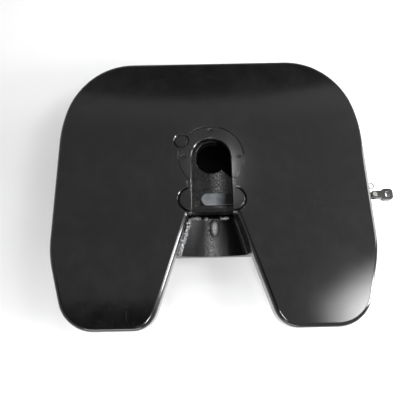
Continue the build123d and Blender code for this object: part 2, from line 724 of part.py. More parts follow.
# ---------------------------------------------------------------- lock bar and its guide
with BuildPart() as lock_bar:
    with BuildSketch(Plane.XY.offset(BAR_BOTTOM)):
        with BuildLine():
            Polyline(
                (WEDGE_NOSE_X, BAR_REAR_Y),
                (WEDGE_NOSE_X, wedge_y(WEDGE_NOSE_X) - WEDGE_GAP),
                (BAR_STEP_X, wedge_y(BAR_STEP_X) - WEDGE_GAP),
                (BAR_STEP_X, BAR_FRONT_Y),
                (BAR_END_X, BAR_FRONT_Y),
                (BAR_END_X, BAR_REAR_Y),
                close=True,
            )
        make_face()
    extrude(amount=BAR_TOP - BAR_BOTTOM)
    tongue_end = BAR_STEP_X + TONGUE_ROOT
    with BuildSketch(Plane.XY.offset(TONGUE_BOTTOM)):
        with Locations(((BAR_NOSE_X + tongue_end) / 2, BAR_Y)):
            SlotOverall(tongue_end - BAR_NOSE_X, 2 * TONGUE_R)
    extrude(amount=BAR_TOP - TONGUE_BOTTOM)
    with BuildSketch(Plane.YZ.offset(BAR_END_X)):
        with Locations((ROD_Y, ROD_Z)):
            Circle(ROD_R + PRESS)
    extrude(amount=-26, mode=Mode.SUBTRACT)
    rounded = lock_bar.faces().sort_by(Axis.Z)[-1].edges().filter_by(
        lambda e: e.center().X < SLOT_R
    )
    chamfer(rounded, BAR_CHAMFER)
lock_bar.part.label = "lock_bar"
export_step(lock_bar.part, "parts/lock_bar.step")

with BuildPart() as lock_bar_guide:
    with BuildSketch(Plane.XY.offset(GUIDE_FLOOR)):
        with BuildLine():
            Polyline(
                (62, -62),
                (GUIDE_WALL_X, -62),
                (GUIDE_WALL_X, GUIDE_FRONT_Y),
                (GUIDE_END_X, GUIDE_FRONT_Y),
                (GUIDE_END_X, GUIDE_REAR_Y),
                (112, GUIDE_REAR_Y),
                (62, JAW_REAR_Y),
                close=True,
            )
        make_face()
    extrude(amount=JAW_BOTTOM - 0.5 - GUIDE_FLOOR)
    wall_length = GUIDE_END_X - GUIDE_WALL_X
    wall_x = (GUIDE_END_X + GUIDE_WALL_X) / 2
    front_inner = BAR_FRONT_Y + 0.5
    rear_inner = BAR_REAR_Y - 0.5
    with BuildSketch(Plane.XY.offset(GUIDE_FLOOR)):
        with Locations((wall_x, (GUIDE_FRONT_Y + front_inner) / 2)):
            Rectangle(wall_length, GUIDE_FRONT_Y - front_inner)
        with Locations((wall_x, (GUIDE_REAR_Y + rear_inner) / 2)):
            Rectangle(wall_length, rear_inner - GUIDE_REAR_Y)
    extrude(amount=UNDERSIDE - SMALL - GUIDE_FLOOR)
    with BuildSketch(Plane.XY.offset(GUIDE_FLOOR)):
        with Locations(*GUIDE_BOLTS):
            Circle(M10_R + SMALL)
    extrude(amount=80, mode=Mode.SUBTRACT)
lock_bar_guide.part.label = "lock_bar_guide"
export_step(lock_bar_guide.part, "parts/lock_bar_guide.step")

with BuildPart() as guide_bolts:
    with BuildSketch(Plane.XY.offset(GUIDE_FLOOR - SMALL)):
        with Locations(*GUIDE_BOLTS):
            RegularPolygon(M10_HEX_R, 6)
    extrude(amount=-M10_HEAD_T)
    with BuildSketch(Plane.XY.offset(GUIDE_FLOOR - SMALL)):
        with Locations(*GUIDE_BOLTS):
            Circle(M10_R)
    extrude(amount=UNDERSIDE + 7 - GUIDE_FLOOR)
guide_bolts.part.label = "guide_bolts"
export_step(guide_bolts.part, "parts/guide_bolts.step")

# ---------------------------------------------------------------- draw rod, return spring, bush
with BuildPart() as draw_rod:
    with BuildSketch(Plane.YZ.offset(BAR_END_X - 25)):
        with Locations((ROD_Y, ROD_Z)):
            Circle(ROD_R)
    extrude(amount=CLEVIS_X - 12 - BAR_END_X + 25)
    with BuildSketch(Plane.XY.offset(ROD_Z - TANG_T / 2)):
        with Locations((CLEVIS_X - 7, ROD_Y)):
            Rectangle(14, 2 * ROD_R - 1)
        with Locations((CLEVIS_X, ROD_Y)):
            Circle(ROD_R - 0.5)
            Circle(CLEVIS_PIN_R + PRESS, mode=Mode.SUBTRACT)
    extrude(amount=TANG_T)
draw_rod.part.label = "draw_rod"
export_step(draw_rod.part, "parts/draw_rod.step")

with BuildPart() as rod_lock_nut:
    with BuildSketch(Plane.YZ.offset(BAR_END_X + SMALL)):
        with Locations((ROD_Y, ROD_Z)):
            RegularPolygon(LOCK_NUT_R, 6)
            Circle(ROD_R + FIT, mode=Mode.SUBTRACT)
    extrude(amount=LOCK_NUT_T)
rod_lock_nut.part.label = "rod_lock_nut"
export_step(rod_lock_nut.part, "parts/rod_lock_nut.step")

with BuildPart() as spring_collar:
    with BuildSketch(Plane.YZ.offset(BAR_END_X + LOCK_NUT_T + 2 * SMALL)):
        with Locations((ROD_Y, ROD_Z)):
            Circle(COLLAR_R)
            Circle(ROD_R + FIT, mode=Mode.SUBTRACT)
    extrude(amount=COLLAR_T)
spring_collar.part.label = "spring_collar"
export_step(spring_collar.part, "parts/spring_collar.step")

with BuildPart() as rod_bush:
    with BuildSketch(Plane.YZ.offset(SKIRT_INNER_X - SMALL)):
        with Locations((ROD_Y, ROD_Z)):
            Circle(BUSH_COLLAR_R)
            Circle(ROD_R + FIT, mode=Mode.SUBTRACT)
    extrude(amount=-BUSH_COLLAR_T)
    with BuildSketch(Plane.YZ.offset(SKIRT_INNER_X - SMALL)):
        with Locations((ROD_Y, ROD_Z)):
            Circle(BUSH_R - SMALL)
            Circle(ROD_R + FIT, mode=Mode.SUBTRACT)
    extrude(amount=15)
rod_bush.part.label = "rod_bush"
export_step(rod_bush.part, "parts/rod_bush.step")

with BuildPart() as return_spring:
    with BuildLine() as coil:
        Helix(
            pitch=(SPRING_END_X - SPRING_START_X) / SPRING_TURNS,
            height=SPRING_END_X - SPRING_START_X,
            radius=SPRING_R,
            center=(SPRING_START_X, ROD_Y, ROD_Z),
            direction=(1, 0, 0),
        )
    with BuildSketch(Plane(coil.line @ 0, z_dir=coil.line % 0)):
        Circle(SPRING_WIRE_R)
    sweep(path=coil.line, is_frenet=True)
return_spring.part.label = "return_spring"
export_step(return_spring.part, "parts/return_spring.step")

with BuildPart() as eye_bolt:
    eye_x = SKIRT_INNER_X + 29
    with BuildSketch(Plane.YZ.offset(SKIRT_INNER_X - 2)):
        with Locations((EYE_BOLT_Y, ROD_Z)):
            Circle(EYE_BOLT_R)
    extrude(amount=eye_x - EYE_BOLT_EYE_R - SKIRT_INNER_X + 2)
    with Locations((eye_x, EYE_BOLT_Y, ROD_Z)):
        Torus(EYE_BOLT_EYE_R, EYE_BOLT_WIRE_R)
eye_bolt.part.label = "eye_bolt"
export_step(eye_bolt.part, "parts/eye_bolt.step")

# ---------------------------------------------------------------- release handle
with BuildPart() as release_handle:
    with BuildSketch(Plane.XY.offset(ROD_Z - TANG_T / 2 - SMALL - EAR_T)):
        with Locations((CLEVIS_X, ROD_Y)):
            Circle(HANDLE_EAR_R)
        with Locations(((CLEVIS_X + HANDLE_END_X - 10) / 2, ROD_Y)):
            Rectangle(HANDLE_END_X - 10 - CLEVIS_X, 2 * HANDLE_EAR_R)
        with Locations(((CLEVIS_X + 20 + HANDLE_END_X) / 2, ROD_Y)):
            RectangleRounded(HANDLE_END_X - CLEVIS_X - 20, HANDLE_W, HANDLE_EAR_R)
    extrude(amount=TANG_T + 2 * SMALL + 2 * EAR_T)
    fillet(release_handle.faces().sort_by(Axis.Z)[-1].edges(), HANDLE_EDGE)
    fillet(release_handle.faces().sort_by(Axis.Z)[0].edges(), HANDLE_EDGE)
    with BuildSketch(Plane.XY.offset(ROD_Z - TANG_T / 2 - SMALL)):
        with Locations((CLEVIS_X, ROD_Y)):
            Circle(12.5)
        with Locations((CLEVIS_X - 10, ROD_Y)):
            Rectangle(20, 30)
    extrude(amount=TANG_T + 2 * SMALL, mode=Mode.SUBTRACT)
    with BuildSketch(Plane.XY.offset(ROD_Z - 30)):
        with Locations((CLEVIS_X, ROD_Y)):
            Circle(CLEVIS_PIN_R + FIT)
        with Locations(((CLEVIS_X + 20 + HANDLE_END_X) / 2, ROD_Y)):
            SlotOverall(18, 13, rotation=90)
    extrude(amount=60, mode=Mode.SUBTRACT)
release_handle.part.label = "release_handle"
export_step(release_handle.part, "parts/release_handle.step")

with BuildPart() as clevis_pin:
    pin_half = TANG_T / 2 + SMALL + EAR_T
    with BuildSketch(Plane.XY.offset(ROD_Z - pin_half - 6)):
        with Locations((CLEVIS_X, ROD_Y)):
            Circle(CLEVIS_PIN_R)
    extrude(amount=2 * pin_half + 6.3)
    with BuildSketch(Plane.XY.offset(ROD_Z + pin_half + 0.3)):
        with Locations((CLEVIS_X, ROD_Y)):
            Circle(6.5)
    extrude(amount=3)
    with BuildSketch(Plane.YZ.offset(CLEVIS_X)):
        with Locations((ROD_Y, ROD_Z - pin_half - 3)):
            Circle(1.3)
    extrude(amount=10, both=True, mode=Mode.SUBTRACT)
clevis_pin.part.label = "clevis_pin"
export_step(clevis_pin.part, "parts/clevis_pin.step")

with BuildPart() as split_pin:
    with BuildSketch(Plane.YZ.offset(CLEVIS_X - 8)):
        with Locations((ROD_Y, ROD_Z - pin_half - 3)):
            Circle(1.2)
    extrude(amount=16)
split_pin.part.label = "split_pin"
export_step(split_pin.part, "parts/split_pin.step")

# ---------------------------------------------------------------- pedestals and their bearings
for side, sign in SIDES:
    centre = sign * PEDESTAL_X

    with BuildPart() as pedestal:
        with BuildSketch():
            with Locations((centre, 0)):
                RectangleRounded(FOOT_X, FOOT_Y, FOOT_CORNER_R)
                with GridLocations(2 * FOOT_HOLE_X, FOOT_HOLE_Y, 2, 3):
                    Circle(FOOT_HOLE_R, mode=Mode.SUBTRACT)
        extrude(amount=FOOT_T)
        fillet(pedestal.faces().sort_by(Axis.Z)[-1].outer_wire().edges(), FOOT_EDGE)
        with BuildSketch(Plane.YZ.offset(centre)):
            with BuildLine():
                Polyline(
                    (-152, FOOT_T - 1),
                    (152, FOOT_T - 1),
                    (EYE_R - 3, TILT_Z - 14),
                    (3 - EYE_R, TILT_Z - 14),
                    close=True,
                )
            make_face()
            with Locations((0, TILT_Z)):
                Circle(EYE_R)
        extrude(amount=EYE_HALF, both=True)
        for _, face in SIDES:
            with BuildSketch(Plane.YZ.offset(centre + face * EYE_HALF)) as pocket:
                with BuildLine():
                    Polyline(*POCKET, close=True)
                make_face()
                fillet(pocket.vertices(), POCKET_R)
            extrude(amount=-face * POCKET_DEPTH, mode=Mode.SUBTRACT)
        with BuildSketch(Plane.YZ.offset(centre - 40)):
            with Locations((0, TILT_Z)):
                Circle(BUSH_OUTER_R)
        extrude(amount=80, mode=Mode.SUBTRACT)
    pedestal.part.label = f"pedestal_{side}"
    export_step(pedestal.part, f"parts/pedestal_{side}.step")

    with BuildPart() as rubber_bush:
        with BuildSketch(Plane.YZ.offset(centre)):
            with Locations((0, TILT_Z)):
                Circle(BUSH_OUTER_R - SMALL)
                Circle(SLEEVE_R, mode=Mode.SUBTRACT)
        extrude(amount=EYE_HALF + 1, both=True)
    rubber_bush.part.label = f"rubber_bush_{side}"
    export_step(rubber_bush.part, f"parts/rubber_bush_{side}.step")

    with BuildPart() as bush_sleeve:
        with BuildSketch(Plane.YZ.offset(centre)):
            with Locations((0, TILT_Z)):
                Circle(SLEEVE_R - SMALL)
                Circle(PIN_R + FIT, mode=Mode.SUBTRACT)
        extrude(amount=EYE_HALF + 3, both=True)
    bush_sleeve.part.label = f"bush_sleeve_{side}"
    export_step(bush_sleeve.part, f"parts/bush_sleeve_{side}.step")

    outer_face = centre + sign * (LUG_OFFSET + LUG_T / 2)
    inner_face = centre - sign * (LUG_OFFSET + LUG_T / 2)
    with BuildPart() as bracket_pin:
        with BuildSketch(Plane.YZ.offset(inner_face)):
            with Locations((0, TILT_Z)):
                Circle(PIN_R)
        extrude(amount=sign * (2 * LUG_OFFSET + LUG_T + 1))
        with BuildSketch(Plane.YZ.offset(outer_face + sign * SMALL)):
            with Locations((0, TILT_Z)):
                Circle(PIN_R + PIN_HEAD)
        extrude(amount=sign * PIN_HEAD)
    bracket_pin.part.label = f"bracket_pin_{side}"
    export_step(bracket_pin.part, f"parts/bracket_pin_{side}.step")

    with BuildPart() as pin_keeper:
        with BuildSketch(Plane.YZ.offset(inner_face - sign * SMALL)):
            with Locations((0, TILT_Z + 22)):
                RectangleRounded(56, 50, 8)
            with Locations(*KEEPER_BOLTS):
                Circle(M10_R + SMALL, mode=Mode.SUBTRACT)
        extrude(amount=-sign * KEEPER_T)
    pin_keeper.part.label = f"pin_keeper_{side}"
    export_step(pin_keeper.part, f"parts/pin_keeper_{side}.step")

    with BuildPart() as keeper_bolts:
        with BuildSketch(Plane.YZ.offset(inner_face - sign * (KEEPER_T + 2 * SMALL))):
            with Locations(*KEEPER_BOLTS):
                RegularPolygon(M10_HEX_R, 6)
        extrude(amount=-sign * M10_HEAD_T)
        with BuildSketch(Plane.YZ.offset(inner_face - sign * (KEEPER_T + 2 * SMALL))):
            with Locations(*KEEPER_BOLTS):
                Circle(M10_R)
        extrude(amount=sign * (KEEPER_T + LUG_T - 1))
    keeper_bolts.part.label = f"keeper_bolts_{side}"
    export_step(keeper_bolts.part, f"parts/keeper_bolts_{side}.step")
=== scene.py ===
import json
import math

import bpy
import numpy as np
from mathutils import Matrix, Vector


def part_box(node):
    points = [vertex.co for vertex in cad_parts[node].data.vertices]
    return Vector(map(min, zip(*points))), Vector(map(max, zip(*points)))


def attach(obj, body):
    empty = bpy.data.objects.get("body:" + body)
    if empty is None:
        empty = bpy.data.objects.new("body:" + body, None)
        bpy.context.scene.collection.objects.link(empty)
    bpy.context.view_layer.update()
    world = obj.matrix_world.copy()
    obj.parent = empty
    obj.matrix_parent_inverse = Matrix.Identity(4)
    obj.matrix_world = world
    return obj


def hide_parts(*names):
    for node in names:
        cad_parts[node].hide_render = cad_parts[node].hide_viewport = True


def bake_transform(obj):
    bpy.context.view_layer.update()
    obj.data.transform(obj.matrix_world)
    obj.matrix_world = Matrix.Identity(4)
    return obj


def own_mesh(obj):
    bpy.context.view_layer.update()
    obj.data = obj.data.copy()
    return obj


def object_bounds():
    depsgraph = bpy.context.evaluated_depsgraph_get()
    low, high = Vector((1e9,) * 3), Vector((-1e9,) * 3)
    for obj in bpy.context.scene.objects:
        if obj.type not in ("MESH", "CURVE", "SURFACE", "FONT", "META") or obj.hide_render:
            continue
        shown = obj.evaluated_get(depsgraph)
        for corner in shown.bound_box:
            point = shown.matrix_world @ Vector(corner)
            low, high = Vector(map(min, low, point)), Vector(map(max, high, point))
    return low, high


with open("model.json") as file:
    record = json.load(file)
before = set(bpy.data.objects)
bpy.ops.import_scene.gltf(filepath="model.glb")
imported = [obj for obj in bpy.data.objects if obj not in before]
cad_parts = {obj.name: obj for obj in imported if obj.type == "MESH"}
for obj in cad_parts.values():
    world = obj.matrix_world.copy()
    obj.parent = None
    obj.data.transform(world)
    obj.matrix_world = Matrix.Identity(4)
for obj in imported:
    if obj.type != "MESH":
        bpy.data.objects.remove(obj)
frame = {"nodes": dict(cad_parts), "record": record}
cad_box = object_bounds()
nodes = frame["nodes"]
scene = bpy.context.scene
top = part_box("top_plate")[1].z

# ---------------------------------------------------------------- materials
# linear colours
DUST = (0.30, 0.29, 0.27)
DIRT = (0.035, 0.028, 0.022)
WORN_PAINT = (0.16, 0.155, 0.15)
WORN_CASTING = (0.10, 0.103, 0.106)
# colour of painted highlights on the castings' up faces
PAINTED_HIGHLIGHT_GREY = (0.22, 0.22, 0.225)
# colour of a painted highlight, a pale patch on a casting
SPOT_HIGHLIGHT_GREY = (0.42, 0.42, 0.43)
# colour of painted shade, near black
PAINTED_SHADE_BLACK = (0.0006, 0.0006, 0.0006)
FRESH_RUBBER = (0.014, 0.014, 0.014)
RUBBER_BLOOM = (0.075, 0.073, 0.07)
WELD_PAINT = (0.03, 0.03, 0.032)
WELD_BARE = (0.62, 0.63, 0.65)
PAPER = ((0.90, 0.90, 0.90), (0.93, 0.93, 0.93))


def grey(value):
    return (value, value, value)


def scaled(colour, factor):
    return tuple(min(1, c * factor) for c in colour)


class Shader:
    """A node material under construction. Distances are in metres, in the object's own coordinates."""

    def __init__(self, name, **values):
        self.mat = bpy.data.materials.new(name)
        self.mat.use_nodes = True
        self.tree = self.mat.node_tree
        self.bsdf = self.tree.nodes["Principled BSDF"]
        self.coords = self.add("ShaderNodeTexCoord").outputs["Object"]
        self.set(**values)

    def add(self, kind, **settings):
        node = self.tree.nodes.new(kind)
        for key, value in settings.items():
            setattr(node, key, value)
        return node

    def link(self, value, socket):
        if isinstance(value, bpy.types.NodeSocket):
            self.tree.links.new(value, socket)
        else:
            socket.default_value = value

    def set(self, **values):
        for key, value in values.items():
            self.link(value, self.bsdf.inputs[key.replace("_", " ")])
        return self

    def math(self, operation, a, b=0.0, clamp=False):
        node = self.add("ShaderNodeMath", operation=operation, use_clamp=clamp)
        self.link(a, node.inputs[0])
        self.link(b, node.inputs[1])
        return node.outputs[0]

    def times(self, a, b):
        return self.math("MULTIPLY", a, b)

    def plus(self, a, b):
        return self.math("ADD", a, b)

    def past(self, value, start, length, clamp=False):
        """How far value is past start, as a share of length."""
        return self.math("DIVIDE", self.math("SUBTRACT", value, start), length, clamp)

    def axis(self, name):
        node = self.add("ShaderNodeSeparateXYZ")
        self.link(self.coords, node.inputs[0])
        return node.outputs[name]

    def noise(self, size, detail=3.0, rough=0.55, stretch=None, twist=0.0):
        """Noise whose blobs are about size metres across, longer along an axis where stretch is under 1."""
        node = self.add("ShaderNodeTexNoise")
        place = self.coords
        if stretch:
            mapping = self.add("ShaderNodeMapping")
            self.link(self.coords, mapping.inputs["Vector"])
            mapping.inputs["Scale"].default_value = stretch
            place = mapping.outputs[0]
        self.link(place, node.inputs["Vector"])
        node.inputs["Scale"].default_value = 0.5 / size
        node.inputs["Detail"].default_value = detail
        node.inputs["Roughness"].default_value = rough
        node.inputs["Distortion"].default_value = twist
        return node.outputs["Fac"]

    def cells(self, size):
        node = self.add("ShaderNodeTexVoronoi")
        self.link(self.coords, node.inputs["Vector"])
        node.inputs["Scale"].default_value = 1 / size
        return node.outputs["Distance"]

    def ramp(self, value, *stops):
        """Each stop is a position and the brightness there."""
        node = self.add("ShaderNodeValToRGB")
        for element, (position, brightness) in zip(node.color_ramp.elements, stops):
            element.position = position
            element.color = (*grey(brightness), 1)
        self.link(value, node.inputs["Fac"])
        return node.outputs["Color"]

    def mix(self, amount, a, b):
        node = self.add("ShaderNodeMix", data_type="RGBA")
        self.link(amount, node.inputs["Factor"])
        for value, socket in ((a, node.inputs[6]), (b, node.inputs[7])):
            if isinstance(value, tuple):
                value = (*value, 1)
            self.link(value, socket)
        return node.outputs[2]

    def bump(self, height, distance, strength, under=None):
        node = self.add("ShaderNodeBump")
        node.inputs["Distance"].default_value = distance
        node.inputs["Strength"].default_value = strength
        self.link(height, node.inputs["Height"])
        if under is not None:
            self.link(under, node.inputs["Normal"])
        return node.outputs["Normal"]

    def rounded(self, radius):
        """A normal that rounds sharp edges."""
        node = self.add("ShaderNodeBevel", samples=4)
        node.inputs["Radius"].default_value = radius
        return node.outputs["Normal"]

    def edges(self, radius):
        """1 at sharp edges, 0 on flat faces."""
        geometry = self.add("ShaderNodeNewGeometry")
        dot = self.add("ShaderNodeVectorMath", operation="DOT_PRODUCT")
        self.link(self.rounded(radius), dot.inputs[0])
        self.link(geometry.outputs["Normal"], dot.inputs[1])
        return self.ramp(dot.outputs["Value"], (0.80, 1.0), (0.995, 0.0))

    def facing_up(self):
        geometry = self.add("ShaderNodeNewGeometry")
        node = self.add("ShaderNodeSeparateXYZ")
        self.link(geometry.outputs["Normal"], node.inputs[0])
        return self.ramp(node.outputs["Z"], (0.5, 0.0), (0.8, 1.0))


def paint(name, base, rough, cast, dust, edge=0.0012, coat=0.3, level=0.5, smooth_top=False):
    """Black paint over cast or cut steel, with orange peel, dust, hair scratches and thinner paint on edges.

    base is its brightness, rough the range of its roughness, cast how strongly the casting's grit shows, and
    dust the thickest film. A smooth top has no grit, but swells a little.
    """
    s = Shader(name, Coat_Weight=coat, Coat_Roughness=0.04, Specular_IOR_Level=level)
    patches = s.noise(0.12, detail=3, rough=0.5)
    specks = s.ramp(s.noise(0.0018, detail=2, rough=0.5), (0.66, 0.0), (0.74, 1.0))
    film = s.ramp(s.times(patches, s.noise(0.02, detail=5, rough=0.6)), (0.2, 0.0), (0.42, dust))
    film = s.math("MAXIMUM", film, s.times(specks, dust * 2.5))
    for stretch in ((1, 0.03, 1), (0.03, 1, 1)):
        hairs = s.noise(0.0011, detail=1, rough=0.4, stretch=stretch, twist=0.6)
        hairs = s.ramp(hairs, (0.70, 0.0), (0.74, 1.0))
        places = s.noise(0.07, detail=2, rough=0.5, stretch=(0.8, 0.5, 1))
        places = s.ramp(places, (0.54, 0.0), (0.64, 1.0))
        film = s.math("MAXIMUM", film, s.times(s.times(hairs, places), dust * 3))
    dark = (base * 0.8, base * 0.8, base * 0.85)
    light = (base * 1.3, base * 1.3, base * 1.35)
    colour = s.mix(s.noise(0.05, detail=2), dark, light)
    colour = s.mix(film, colour, DUST)
    chips = s.ramp(s.noise(0.006, detail=5, rough=0.7), (0.60, 0.0), (0.70, 1.0))
    worn = s.times(s.edges(edge * 1.3), chips)
    colour = s.mix(s.times(worn, 0.5), colour, WORN_PAINT)
    shine = s.ramp(patches, (0.3, rough[0]), (0.7, rough[1]))
    shine = s.mix(film, shine, grey(0.7))
    normal = s.bump(s.noise(0.0022, detail=2, rough=0.4), 0.00010, 0.16, s.rounded(edge))
    grit = s.plus(s.noise(0.0011, detail=5, rough=0.65), s.times(s.noise(0.006, detail=4, rough=0.6), 1.6))
    if smooth_top:
        grit = s.times(grit, s.math("SUBTRACT", 1.0, s.facing_up()))
        normal = s.bump(s.noise(0.05, detail=2, rough=0.4), 0.0006, 0.25, normal)
    normal = s.bump(grit, 0.0010, cast, normal)
    return s.set(Base_Color=colour, Roughness=shine, Normal=normal).mat


def metal(name, light, dark, rough, brush=None, grime=0.3, pits=0.15, edge=0.0006, tint=None, painted_shadow=None):
    """Bare or plated steel, or bronze, in patches of a light and a dark colour.

    brush is the stretch of its brush marks, tint the colour of patches in its plating, and the last
    argument the two places along X where a painted shadow over one end starts and is darkest.
    """
    s = Shader(name, Metallic=1.0)
    cloud = s.noise(0.02, detail=5, rough=0.6)
    colour = s.mix(s.ramp(cloud, (0.3, 0.0), (0.7, 1.0)), dark, light)
    if tint:
        patches = s.noise(0.009, detail=3, rough=0.5, twist=1.5)
        colour = s.mix(s.ramp(patches, (0.45, 0.0), (0.6, 0.45)), colour, tint)
    # painted shadow: colour darkened towards one end along X, in place of a cast shadow
    if painted_shadow:
        start, full = painted_shadow
        wavy = s.plus(s.axis("X"), s.times(s.noise(0.012, detail=3), 0.012))
        shadow_mask = s.ramp(s.past(wavy, start, full - start), (0.0, 0.0), (1.0, 1.0))
        colour = s.mix(shadow_mask, colour, scaled(dark, 0.08))
    spots = s.times(s.noise(0.008, detail=6, rough=0.7), s.noise(0.0012, detail=3, rough=0.6))
    dirt = s.ramp(spots, (0.24, 0.0), (0.36, grime))
    colour = s.mix(dirt, colour, DIRT)
    colour = s.mix(s.times(s.edges(edge * 1.5), 0.5), colour, scaled(light, 1.5))
    shine = s.mix(dirt, s.ramp(cloud, (0.3, rough[0]), (0.7, rough[1])), grey(0.75))
    normal = s.rounded(edge)
    if brush:
        normal = s.bump(s.noise(0.0006, detail=4, rough=0.6, stretch=brush), 0.00012, 0.6, normal)
    normal = s.bump(s.noise(0.0014, detail=5, rough=0.7), 0.0004, pits, normal)
    return s.set(Base_Color=colour, Roughness=shine, Normal=normal).mat


def cast_black(name, base, rough, strength, shine, highlight_band, highlight_spot=None, painted_shade=None):
    """Thin black paint over a coarse sand casting, worn brighter on its edges.

    The highlight band is the centre and half width, along X, of a painted highlight: up faces there are
    painted lighter grey.
    The highlight spot is the centre, in X and Y, and the half lengths of a painted highlight, a pale grey
    patch.
    The painted shade is two pairs, along X and along Y, of where painted shade starts and where it is
    blackest.
    """
    edge = 0.0012
    s = Shader(name, Specular_IOR_Level=shine)
    lumps = s.noise(0.007, detail=5, rough=0.65)
    colour = s.mix(s.ramp(lumps, (0.35, 0.0), (0.7, 1.0)), grey(base * 0.7), grey(base * 1.7))
    chips = s.ramp(s.noise(0.005, detail=5, rough=0.7), (0.38, 0.15), (0.62, 0.9))
    worn = s.times(s.edges(edge * 1.6), chips)
    colour = s.mix(s.times(worn, 0.5), colour, WORN_CASTING)

    # painted highlight: up faces in a band along X are painted lighter grey, in place of the lamp's
    # reflection
    centre, half = highlight_band
    across = s.math("ABSOLUTE", s.math("SUBTRACT", s.axis("X"), centre))
    ragged = s.noise(0.02, detail=3, stretch=(1, 0.2, 1))
    across = s.plus(across, s.times(ragged, half * 0.8))
    painted_highlight = s.ramp(s.math("DIVIDE", across, half * 3), (0.15, 1.0), (0.75, 0.0))
    specks = s.ramp(s.noise(0.0016, detail=4, rough=0.7, stretch=(1, 0.5, 1)), (0.44, 0.0), (0.64, 0.85))
    painted_highlight = s.times(s.times(painted_highlight, specks), s.facing_up())
    colour = s.mix(painted_highlight, colour, PAINTED_HIGHLIGHT_GREY)
    # painted highlight: a pale grey patch where a raised part catches the light
    if highlight_spot:
        x, y, half_x, half_y = highlight_spot
        away_x = s.past(s.axis("X"), x, half_x)
        away_y = s.past(s.axis("Y"), y, half_y)
        away = s.plus(s.times(away_x, away_x), s.times(away_y, away_y))
        specks = s.ramp(s.noise(0.002, detail=4, rough=0.7), (0.35, 0.15), (0.6, 1.0))
        colour = s.mix(s.times(s.ramp(away, (0.3, 1.0), (1.0, 0.0)), specks), colour, SPOT_HIGHLIGHT_GREY)
    gloss = s.ramp(s.noise(0.003, detail=5, rough=0.7), (0.3, rough[0]), (0.7, rough[1]))
    # painted shade: near black painted where shadow falls, in bands along X and along Y
    if painted_shade:
        wavy = s.times(s.math("SUBTRACT", s.noise(0.008, detail=4), 0.5), 0.010)
        films = [s.past(s.plus(s.axis(axis), wavy), start, full - start, clamp=True)
                 for axis, (start, full) in zip("XY", painted_shade)]
        film = s.math("MAXIMUM", *films)
        colour = s.mix(film, colour, PAINTED_SHADE_BLACK)
        gloss = s.mix(film, gloss, grey(0.30))
    grain = s.plus(s.noise(0.0010, detail=4, rough=0.6), s.times(s.cells(0.0022), 0.5))
    normal = s.bump(lumps, 0.0016, strength * 0.6, s.rounded(edge))
    normal = s.bump(grain, 0.0007, strength, normal)
    return s.set(Base_Color=colour, Roughness=gloss, Normal=normal).mat


def moulded_rubber(name):
    s = Shader(name, Specular_IOR_Level=0.35)
    bloom = s.ramp(s.noise(0.012, detail=5, rough=0.65), (0.4, 0.0), (0.75, 0.30))
    colour = s.mix(bloom, FRESH_RUBBER, RUBBER_BLOOM)
    shine = s.ramp(s.noise(0.004, detail=4, rough=0.6), (0.3, 0.62), (0.7, 0.85))
    normal = s.bump(s.noise(0.0008, detail=3, rough=0.6), 0.0003, 0.5, s.rounded(0.0015))
    return s.set(Base_Color=colour, Roughness=shine, Normal=normal).mat


def weld_metal(name):
    """A bright, crusty weld bead, only partly covered by paint."""
    s = Shader(name)
    crust = s.noise(0.0026, detail=6, rough=0.75)
    bare = s.ramp(crust, (0.42, 0.0), (0.60, 1.0))
    colour = s.mix(bare, WELD_PAINT, WELD_BARE)
    shine = s.mix(bare, grey(0.4), grey(0.28))
    metallic = s.ramp(crust, (0.45, 0.0), (0.6, 0.9))
    normal = s.bump(crust, 0.0016, 0.8)
    return s.set(Base_Color=colour, Metallic=metallic, Roughness=shine, Normal=normal).mat


def floor_paper(name):
    s = Shader(name, Roughness=0.9, Specular_IOR_Level=0.1)
    return s.set(Base_Color=s.mix(s.noise(0.3, detail=3), *PAPER)).mat


GLOSS = paint("gloss_black", base=0.003, rough=(0.07, 0.12), cast=0.35, dust=0.014, smooth_top=True)
SATIN = paint("satin_black", base=0.014, rough=(0.24, 0.38), cast=0.6, dust=0.16, edge=0.0015)
HANDLE = paint("handle_black", base=0.014, rough=(0.2, 0.34), cast=0.2, dust=0.10, edge=0.0008)
INSERT = paint("insert_black", base=0.003, rough=(0.08, 0.13), cast=0.3, dust=0.02, edge=0.001,
               smooth_top=True)
# black paint made darker and duller than real paint, as painted shade in the kingpin hole
DULL_HOLE_SHADE = paint("dull_black_hole_shade", base=0.0008, rough=(0.6, 0.8), cast=0.6, dust=0.002, coat=0.0, level=0.04)
# jaw: a painted highlight band right of the middle, and painted shade along the slot's right wall and at its
# rear end
JAW = cast_black("jaw_casting", base=0.005, rough=(0.14, 0.26), strength=0.9, shine=0.2,
                 highlight_band=(0.019, 0.014), painted_shade=((0.040, 0.048), (-0.148, -0.154)))
# ramp: a painted highlight band down its middle, and a painted highlight on its nose
RAMP = cast_black("ramp_casting", base=0.002, rough=(0.12, 0.20), strength=0.34, shine=0.20,
                  highlight_band=(-0.006, 0.011), highlight_spot=(0.008, -0.196, 0.010, 0.024))
OXIDE = metal("black_oxide", light=(0.03, 0.03, 0.032), dark=(0.01, 0.01, 0.011), rough=(0.2, 0.34),
              grime=0.2, pits=0.1)
